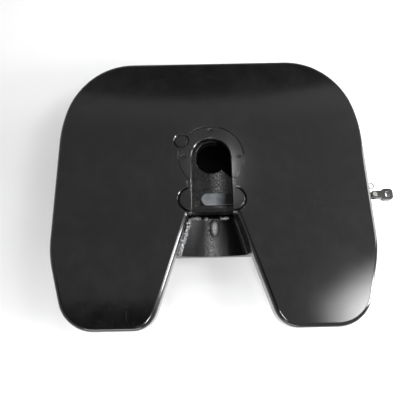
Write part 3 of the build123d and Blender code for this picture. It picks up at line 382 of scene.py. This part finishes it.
# the lock bar's right end, under the slot's right wall, carries a painted shadow
BRIGHT = metal("bright_steel", light=(0.185, 0.192, 0.200), dark=(0.06, 0.065, 0.072), rough=(0.34, 0.48),
               brush=(0.06, 1, 1), grime=0.10, pits=0.14, painted_shadow=(0.014, 0.046))
ZINC = metal("zinc_steel", light=(0.50, 0.50, 0.47), dark=(0.30, 0.31, 0.32), rough=(0.22, 0.38),
             tint=(0.46, 0.40, 0.24))
ROD = metal("rod_steel", light=(0.46, 0.46, 0.46), dark=(0.24, 0.24, 0.25), rough=(0.22, 0.4),
            brush=(0.05, 1, 1), grime=0.5)
SPRING = metal("spring_steel", light=(0.16, 0.16, 0.17), dark=(0.06, 0.06, 0.065), rough=(0.28, 0.45),
               grime=0.4, edge=0.0003)
BRONZE = metal("bronze", light=(0.62, 0.42, 0.19), dark=(0.40, 0.25, 0.11), rough=(0.24, 0.4),
               brush=(1, 1, 0.1), grime=0.35)
RUBBER = moulded_rubber("moulded_rubber")
WELD = weld_metal("weld_metal")

finishes = {
    "gloss_black": GLOSS,
    "pedestal_paint": SATIN,
    "handle_paint": HANDLE,
    "insert_black": INSERT,
    "jaw_casting": JAW,
    "bright_steel": BRIGHT,
    "zinc_steel": ZINC,
    "spring_steel": SPRING,
    "bronze": BRONZE,
    "rubber": RUBBER,
}
slot_of = {s["node"]: s["material_slot"] for s in frame["record"]["subparts"]}


def dress(obj, material):
    obj.data.materials.clear()
    obj.data.materials.append(material)


for name, obj in nodes.items():
    dress(obj, finishes[slot_of[name]])
dress(nodes["throat_ramp"], RAMP)
# painted shade: the guard under the kingpin hole is dressed extra dark so the hole reads black
dress(nodes["kingpin_guard"], DULL_HOLE_SHADE)
dress(nodes["ring_screws"], OXIDE)
for name in ("draw_rod", "rod_lock_nut", "spring_collar"):
    dress(nodes[name], ROD)


# ---------------------------------------------------------------- pieces made here
def mm(*values):
    return tuple(v / 1000 for v in values)


def piece(name, verts, faces, body, material):
    mesh = bpy.data.meshes.new(name)
    mesh.from_pydata([tuple(v) for v in verts], [], faces)
    mesh.polygons.foreach_set("use_smooth", [True] * len(mesh.polygons))
    mesh.update()
    obj = bpy.data.objects.new(name, mesh)
    scene.collection.objects.link(obj)
    dress(obj, material)
    if body:
        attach(obj, body)
    return obj


def tube(points, radius, sides, shape=None):
    """Verts and faces of a wire along points. shape(step, angle) scales the radius there."""
    points = np.array(points, float)
    along = np.gradient(points, axis=0)
    along /= np.linalg.norm(along, axis=1)[:, None]
    off_axis = (0.31, 0.47, 0.83)  # any direction that no wire here starts along
    across = np.cross(along[0], off_axis)
    verts, faces = [], []
    for i, (point, forward) in enumerate(zip(points, along)):
        across = across - forward * across.dot(forward)
        across /= np.linalg.norm(across)
        other = np.cross(forward, across)
        for k in range(sides):
            angle = 2 * math.pi * k / sides
            r = radius * (shape(i, angle) if shape else 1)
            verts.append(point + r * (math.cos(angle) * across + math.sin(angle) * other))
    for i in range(len(points) - 1):
        for k in range(sides):
            a, b = i * sides + k, i * sides + (k + 1) % sides
            faces.append((a, b, b + sides, a + sides))
    faces.append(tuple(range(sides))[::-1])
    faces.append(tuple(range(len(verts) - sides, len(verts))))
    return verts, faces


# return spring on the draw rod, with closed ends
rod_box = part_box("draw_rod")
rod_y = (rod_box[0].y + rod_box[1].y) / 2
rod_z = (rod_box[0].z + rod_box[1].z) / 2
spring_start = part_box("spring_collar")[1].x
spring_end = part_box("rod_bush")[0].x
wire, coil_r, turns = 0.0017, 0.0122, 15.0
closed = 1.15  # turns at each end that lie against their neighbours
steps = int(turns * 28)
span = spring_end - spring_start - 2 * wire
coil = []
for i in range(steps + 1):
    turn = turns * (i / steps)
    inner = min(max(turn - closed, 0), turns - 2 * closed) / (turns - 2 * closed)
    x = spring_start + wire + min(turn, closed) * 2 * wire + inner * (span - 4 * closed * wire)
    x += max(turn - turns + closed, 0) * 2 * wire
    angle = 2 * math.pi * turn
    coil.append((x, rod_y + coil_r * math.cos(angle), rod_z + coil_r * math.sin(angle)))
spring = piece("return_spring_coil", *tube(coil, wire, sides=10), "plate", SPRING)
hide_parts("return_spring")
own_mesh(spring)

# jaw spring, with a loop round the post and a hook in the anchor's eye
eye_inset = 0.0073  # from the anchor's front face to the middle of its eye
post_loop_r, eye_loop_r = 0.0064, 0.0050
post_clear, eye_clear = 0.014, 0.0115  # from the post and the eye to the coil's ends
eye_slack = 0.0005
post_box, anchor_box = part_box("spring_post"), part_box("spring_anchor")
eye = Vector(((anchor_box[0].x + anchor_box[1].x) / 2,
              anchor_box[1].y - eye_inset,
              (anchor_box[0].z + anchor_box[1].z) / 2))
post = (post_box[0] + post_box[1]) / 2
post.z = eye.z
along = (eye - post).normalized()
side = Vector((-along.y, along.x, 0))
up = Vector((0, 0, 1))
wire, coil_r, turns = 0.0011, 0.0060, 34
path = []
for degrees in np.linspace(200, -120, 40):
    angle = math.radians(degrees)
    path.append(post + post_loop_r * (math.cos(angle) * along * -1 + math.sin(angle) * side))
first = post + along * post_clear
last = eye - along * eye_clear
steps = turns * 24
for i in range(steps + 1):
    t = i / steps
    angle = 2 * math.pi * turns * t - math.pi / 2
    path.append(first.lerp(last, t) + coil_r * (math.cos(angle) * up + math.sin(angle) * side))
for degrees in np.linspace(-60, 240, 30):
    angle = math.radians(degrees)
    path.append(eye + along * eye_slack + eye_loop_r * (math.cos(angle) * -along + math.sin(angle) * up))
path = np.array(path)
for _ in range(3):
    path[1:-1] = (path[:-2] + 2 * path[1:-1] + path[2:]) / 4
jaw_spring = piece("jaw_spring_coil", *tube(path, wire, sides=8), None, SPRING)
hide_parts("jaw_spring")
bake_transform(jaw_spring)

# split pin through the clevis pin: a round head, two straight halves and bent tips
low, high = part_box("split_pin")
mid = (low + high) / 2
half_wire_r = 0.00058
head_x, head_reach, head_half = -0.0035, 0.0030, 0.0022
shank_x, shank_from, shank_to = 0.0026, 0.001, 0.0095
tip_x, tip_reach, tip_spread = 0.0125, 0.0018, 0.0045
head_gap, shank_gap, tip_gap = 0.0005, 0.00055, 0.0006
for k, sign in enumerate((-1, 1)):
    path = [(head_x + head_reach * (1 - math.cos(a)), head_half * math.sin(a) + head_gap)
            for a in np.linspace(0.0, math.pi, 18)]
    path += [(shank_x + d, shank_gap) for d in np.linspace(shank_from, shank_to, 6)]
    path += [(tip_x + tip_reach * math.sin(a), tip_gap + tip_spread * (1 - math.cos(a)))
             for a in np.linspace(0.2, math.pi / 2, 8)]
    path = [(low.x + x, mid.y + sign * y, mid.z) for x, y in path]
    leg = piece(f"split_pin_leg_{k + 1}", *tube(path, half_wire_r, sides=8), "bar", ZINC)
    if k == 0:
        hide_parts("split_pin")


# weld beads between the ramp and the plate, and between the guard and the ramp
def weld(name, path, radius, material, rough, seed, pitch=0.0028):
    """A bead of overlapping ripples along a path, thicker and thinner by chance."""
    sides, swells, rings_per_ripple = 14, 14, 6
    rng = np.random.default_rng(seed)
    path = np.array(path, float)
    steps = np.linalg.norm(np.diff(path, axis=0), axis=1)
    at = np.concatenate([[0], np.cumsum(steps)])
    count = max(8, int(at[-1] / pitch * rings_per_ripple))
    where = np.linspace(0, at[-1], count)
    points = np.stack([np.interp(where, at, path[:, k]) for k in range(3)], axis=1)
    slow = np.interp(where, np.linspace(0, at[-1], swells), rng.uniform(1 - rough, 1 + rough, swells))
    points += rng.normal(0, radius * rough * 0.15, points.shape)
    lumps = rng.uniform(1 - rough * 0.6, 1 + rough * 0.6, (count, sides))

    def shape(i, angle):
        ripple = abs(math.sin(math.pi * where[i] / pitch + 0.7 * math.cos(angle)))
        end = min(1.0, 0.45 + min(where[i], at[-1] - where[i]) / radius)
        return slow[i] * end * (0.88 + 0.16 * ripple) * lumps[i][int(angle / 2 / math.pi * sides) % sides]

    return piece(name, *tube(points, radius, sides, shape), "plate", material)


def seam(side, lift, inset):
    """Points down the corner between the ramp's floor and one cheek, on the left (-1) or the right (1)."""
    front, rear = mm(68.3, -167.5, 178), mm(103.9, -278, 161)
    out = []
    for t in np.linspace(0.02, 0.97, 12):
        x, y, z = (a + (b - a) * t for a, b in zip(front, rear))
        out.append((side * (x - inset), y, z + lift))
    return out


bead = weld("weld_left", seam(-1, 0.003, 0.0025), 0.0078, WELD, rough=0.42, seed=3, pitch=0.0036)
bead = weld("weld_right", seam(1, 0.003, 0.0015), 0.0030, GLOSS, rough=0.12, seed=4)

# the ramp's front edge dips in the middle by ramp_dip, and is ramp_half wide on each side
ramp_front_y, ramp_front_z, ramp_dip, ramp_half = -167.9, 166.6, 12, 68
for k, (x0, x1) in enumerate(((-62, -34), (-24, -13), (24, 50))):
    line = [mm(x, ramp_front_y, ramp_front_z + ramp_dip * (x / ramp_half) ** 2)
            for x in np.linspace(x0, x1, 8)]
    bead = weld(f"weld_front_{k + 1}", line, 0.0042, WELD, rough=0.38, seed=10 + k)
guard_y, guard_z = -167.0, 144.3
for k, (x0, x1) in enumerate(((-72, -40), (-16, 16), (40, 72))):
    line = [mm(x, guard_y, guard_z) for x in np.linspace(x0, x1, 6)]
    bead = weld(f"weld_guard_{k + 1}", line, 0.0034, GLOSS, rough=0.14, seed=20 + k)

# ---------------------------------------------------------------- floor, light, camera
FLOOR_HALF, FLOOR_GAP = 60, 0.0005
floor_mesh = bpy.data.meshes.new("floor")
corners = [(x * FLOOR_HALF, y * FLOOR_HALF, 0) for x, y in ((-1, -1), (1, -1), (1, 1), (-1, 1))]
floor_mesh.from_pydata(corners, [], [(0, 1, 2, 3)])
floor = bpy.data.objects.new("floor", floor_mesh)
scene.collection.objects.link(floor)
floor.location.z = cad_box[0].z - FLOOR_GAP
dress(floor, floor_paper("floor_paper"))


def panel(name, place, aim, size, power, turn=0.0):
    """A rectangular lamp that faces aim, turned by some degrees about that direction."""
    light = bpy.data.lights.new(name, "AREA")
    light.shape = "RECTANGLE"
    light.size, light.size_y = size
    light.energy = power
    obj = bpy.data.objects.new(name, light)
    scene.collection.objects.link(obj)
    obj.location = place
    facing = (Vector(aim) - Vector(place)).to_track_quat("-Z", "Y")
    obj.rotation_euler = (facing @ Matrix.Rotation(math.radians(turn), 3, "Z").to_quaternion()).to_euler()
    return obj


def soft_edges(light):
    """The lamp fades towards its edges, like a window behind a thin curtain."""
    light.use_nodes = True
    tree = light.node_tree
    lamp = tree.nodes["Emission"]
    across = tree.nodes.new("ShaderNodeNewGeometry").outputs["Parametric"]
    split = tree.nodes.new("ShaderNodeSeparateXYZ")
    tree.links.new(across, split.inputs[0])
    both = tree.nodes.new("ShaderNodeMath")
    both.operation = "MULTIPLY"
    for axis, factor in zip("XY", both.inputs):
        fall = tree.nodes.new("ShaderNodeValToRGB")
        fall.color_ramp.interpolation = "EASE"
        fall.color_ramp.elements[0].color = (0, 0, 0, 1)
        fall.color_ramp.elements[1].position = 0.5
        fall.color_ramp.elements.new(1.0).color = (0, 0, 0, 1)
        tree.links.new(split.outputs[axis], fall.inputs["Fac"])
        tree.links.new(fall.outputs["Color"], factor)
    tree.links.new(both.outputs[0], lamp.inputs["Strength"])


window = panel("window", place=(1.50, -0.42, 2.6), aim=(0.40, -0.40, 0.25), size=(1.0, 1.3), power=95,
               turn=25)
jaw_strip = panel("jaw_strip", place=(0.14, 0.80, 2.6), aim=(0.02, -0.07, 0.23), size=(0.14, 0.50),
                  power=30)
ramp_strip = panel("ramp_strip", place=(0.04, -0.92, 2.6), aim=(0.0, -0.23, 0.15), size=(0.14, 0.80),
                   power=50)
panel("key", place=(2.6, -0.78, 1.20), aim=(0, -0.30, 0.2), size=(1.7, 0.6), power=95, turn=90)
panel("side", place=(2.6, 0.50, 1.20), aim=(0, -0.10, 0.2), size=(1.7, 0.9), power=38, turn=90)
panel("rear", place=(-0.6, -3.2, 1.15), aim=(0, -0.3, 0.2), size=(2.4, 0.8), power=40)
for lamp in (window, jaw_strip, ramp_strip):
    soft_edges(lamp.data)

scene.view_settings.view_transform = "Standard"
world = bpy.data.worlds.new("studio")
scene.world = world
world.use_nodes = True
tree = world.node_tree
sky = tree.nodes["Background"]
direction = tree.nodes.new("ShaderNodeTexCoord").outputs["Generated"]
split = tree.nodes.new("ShaderNodeSeparateXYZ")
tree.links.new(direction, split.inputs[0])


def sky_ramp(axis, *stops):
    """Brightness of the sky over one axis of the direction, each stop at a position from -1 to 1."""
    spread = tree.nodes.new("ShaderNodeMapRange")
    spread.inputs["From Min"].default_value = -1
    tree.links.new(split.outputs[axis], spread.inputs["Value"])
    node = tree.nodes.new("ShaderNodeValToRGB")
    node.color_ramp.interpolation = "EASE"
    while len(node.color_ramp.elements) < len(stops):
        node.color_ramp.elements.new(0.5)
    for element, (position, value) in zip(node.color_ramp.elements, stops):
        element.position = (position + 1) / 2
        element.color = (*grey(value), 1)
    tree.links.new(spread.outputs[0], node.inputs["Fac"])
    return node.outputs["Color"]


def sky_mix(kind, a, b, amount=1.0):
    node = tree.nodes.new("ShaderNodeMix")
    node.data_type = "RGBA"
    node.blend_type = kind
    node.clamp_result = False
    for value, socket in ((amount, node.inputs["Factor"]), (a, node.inputs[6]), (b, node.inputs[7])):
        if isinstance(value, bpy.types.NodeSocket):
            tree.links.new(value, socket)
        else:
            socket.default_value = value
    return node.outputs[2]


# the studio as the glossy plate mirrors it: a dim ceiling, brighter to the right, that ends at the front in a
# bright line and a dark wall, is dark over the left horn's tip, and gives way to an even grey lower down
HORIZON = (0.60, 0.60, 0.61, 1)
left_to_right = sky_ramp("X", (-0.5, 0.36), (0.0, 0.45), (0.5, 0.66))
line_and_wall = sky_ramp("Y", (0.44, 1.0), (0.485, 1.3), (0.50, 1.35), (0.515, 0.30), (0.56, 0.16))
dark_behind = sky_ramp("Y", (0.05, 0.06), (0.07, 1.0))
on_the_left = sky_ramp("X", (-0.12, 1.0), (-0.02, 0.0))
high_up = sky_ramp("Z", (0.58, 0.0), (0.76, 1.0))
ceiling = sky_mix("MULTIPLY", left_to_right, line_and_wall)
ceiling = sky_mix("MULTIPLY", ceiling, dark_behind, on_the_left)
tree.links.new(sky_mix("MIX", HORIZON, ceiling, high_up), sky.inputs["Color"])
sky.inputs["Strength"].default_value = 1.0

CAMERA_LENS, CAMERA_SENSOR = 37.8, 36
CAMERA_PLACE = (-0.0377, -0.482, top + 1.1413)
CAMERA_YAW, CAMERA_TILT, CAMERA_ROLL = -0.382, 17, -0.822  # degrees
camera_data = bpy.data.cameras.new("camera")
camera_data.lens = CAMERA_LENS
camera_data.sensor_width = CAMERA_SENSOR
camera = bpy.data.objects.new("camera", camera_data)
scene.collection.objects.link(camera)
camera.matrix_world = (
    Matrix.Translation(CAMERA_PLACE)
    @ Matrix.Rotation(math.radians(CAMERA_YAW), 4, "Z")
    @ Matrix.Rotation(math.radians(CAMERA_TILT), 4, "X")
    @ Matrix.Rotation(math.radians(CAMERA_ROLL), 4, "Z")
)
scene.camera = camera
